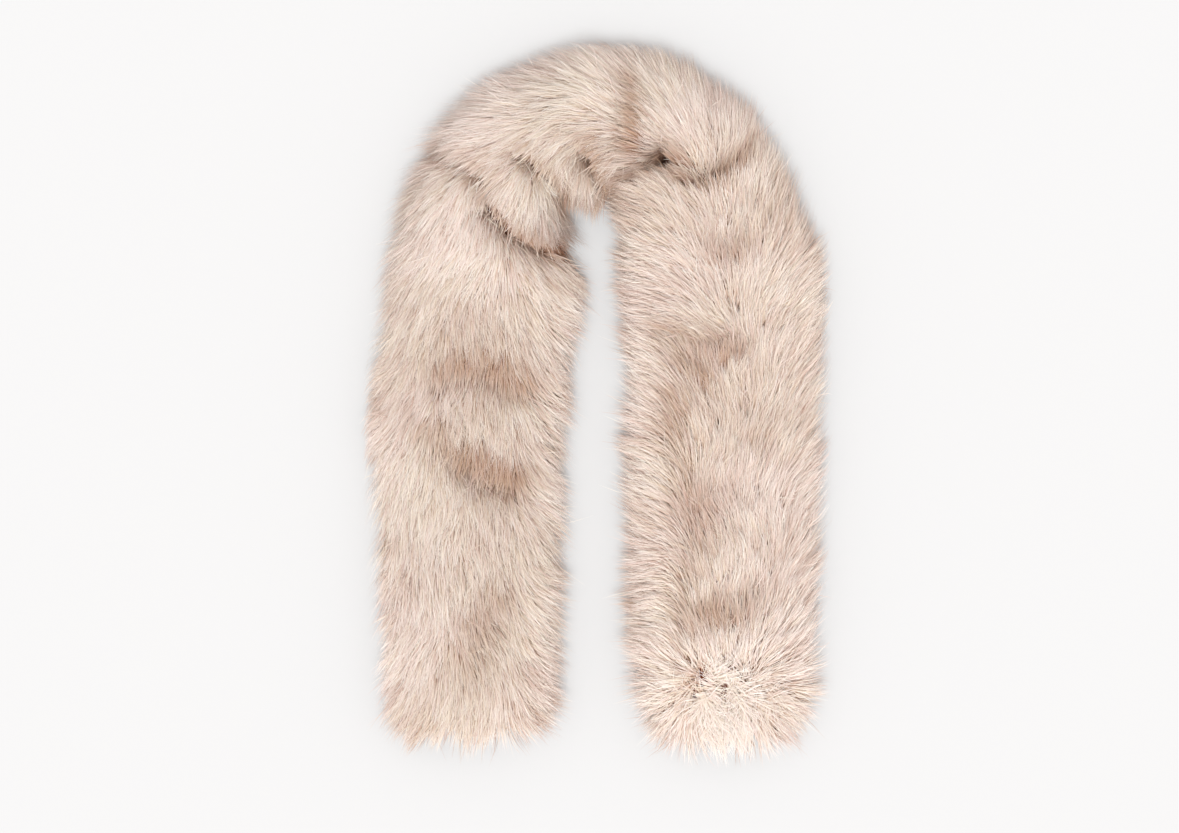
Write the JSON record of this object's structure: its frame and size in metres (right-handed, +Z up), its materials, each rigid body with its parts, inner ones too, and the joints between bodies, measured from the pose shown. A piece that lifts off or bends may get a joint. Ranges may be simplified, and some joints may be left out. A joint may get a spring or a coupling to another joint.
{
  "type": "fur collar wrap",
  "caption": "Straight scarf of long-pile fur with fur on both faces, laid flat in a horseshoe: a bunched neck with two parallel tails.",
  "frame": {"origin": "under the middle of the laid wrap's outline, on the surface that it lies on", "axes": "+Z up from the surface, +Y along the tails towards the neck, +X across the tails with the fur side up"},
  "size_m": [0.382, 0.599, 0.0703],
  "materials": {
    "upper_fur": "long soft pile, pale blush beige",
    "under_fur": "the same pile pressed flat, a little browner"
  },
  "bodies": {
    "root": {"left_tail_upper": "upper_fur", "neck_upper": "upper_fur", "right_tail_upper": "upper_fur", "left_tail_under": "under_fur", "neck_under": "under_fur", "right_tail_under": "under_fur"}
  },
  "joints": []
}
